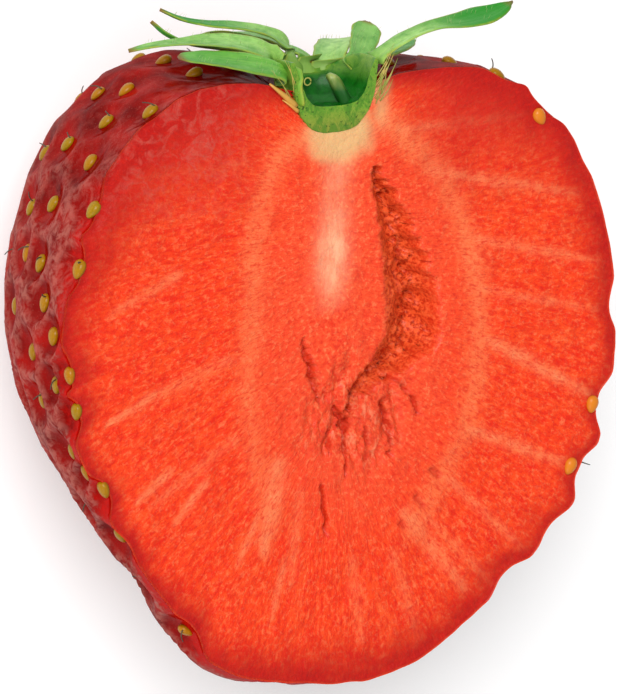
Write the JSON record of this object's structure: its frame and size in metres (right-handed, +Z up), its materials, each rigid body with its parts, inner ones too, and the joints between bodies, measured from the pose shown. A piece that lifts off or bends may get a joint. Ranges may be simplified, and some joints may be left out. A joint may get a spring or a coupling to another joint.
{
  "type": "half strawberry",
  "caption": "Half of a large ripe strawberry cut lengthwise through its leafy calyx, lying on its rounded seeded back with the cut face up.",
  "frame": {"origin": "on the small flat spot that the half rests on, below the middle of the fruit", "axes": "+Z up, square to the cut face; +Y along the fruit to its calyx; +X to the right as the cut face is seen"},
  "size_m": [0.0446, 0.0489, 0.0256],
  "materials": {
    "flesh_and_skin": "moist translucent red flesh with paler fibres and a cream core, glossy dark red dimpled skin",
    "calyx": "living green cup, yellow-green and moist where it is cut",
    "sepal": "satin green leaf with fine veins and hairs, paler underneath",
    "seed": "smooth yellow-olive achene"
  },
  "bodies": {
    "root": {"berry_half": "flesh_and_skin", "calyx_cup": "calyx", "sepal_left_front": "sepal", "sepal_left_middle": "sepal", "sepal_left_upper": "sepal", "sepal_left_curled": "sepal", "sepal_back_left": "sepal", "sepal_back_blunt": "sepal", "sepal_back_round": "sepal", "sepal_right_back": "sepal", "sepal_right_long": "sepal"}
  },
  "joints": []
}
